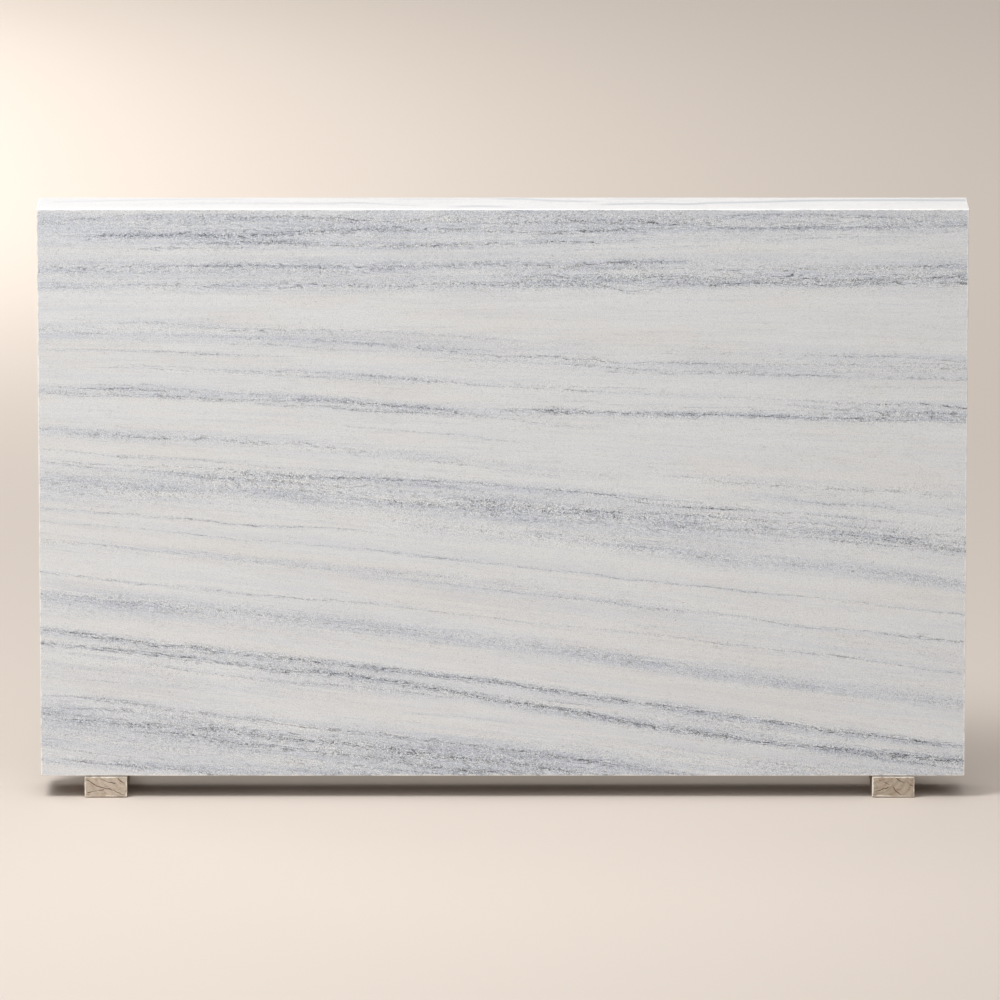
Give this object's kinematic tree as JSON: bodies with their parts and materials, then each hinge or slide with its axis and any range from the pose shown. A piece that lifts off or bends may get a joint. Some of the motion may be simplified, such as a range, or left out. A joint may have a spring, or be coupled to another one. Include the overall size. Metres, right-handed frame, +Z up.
{
  "type": "marble slab",
  "caption": "Thick rectangular slab of pale, grey-veined marble stored on its long edge, resting on short timber bearers.",
  "frame": {"origin": "on the ground, under the middle of the box round the slab and its bearers", "axes": "+X along the slab's length, +Y from its polished face to its back, +Z up"},
  "size_m": [3, 0.322, 1.9413],
  "materials": {
    "marble": "pale warm grey marble with blue-grey veins in gently fanning bands; polished face, honed edges and back",
    "timber": "weathered pale sawn softwood, dry, with end grain to the front"
  },
  "bodies": {
    "root": {"marble_slab": "marble", "left_bearer": "timber", "right_bearer": "timber"}
  },
  "joints": []
}
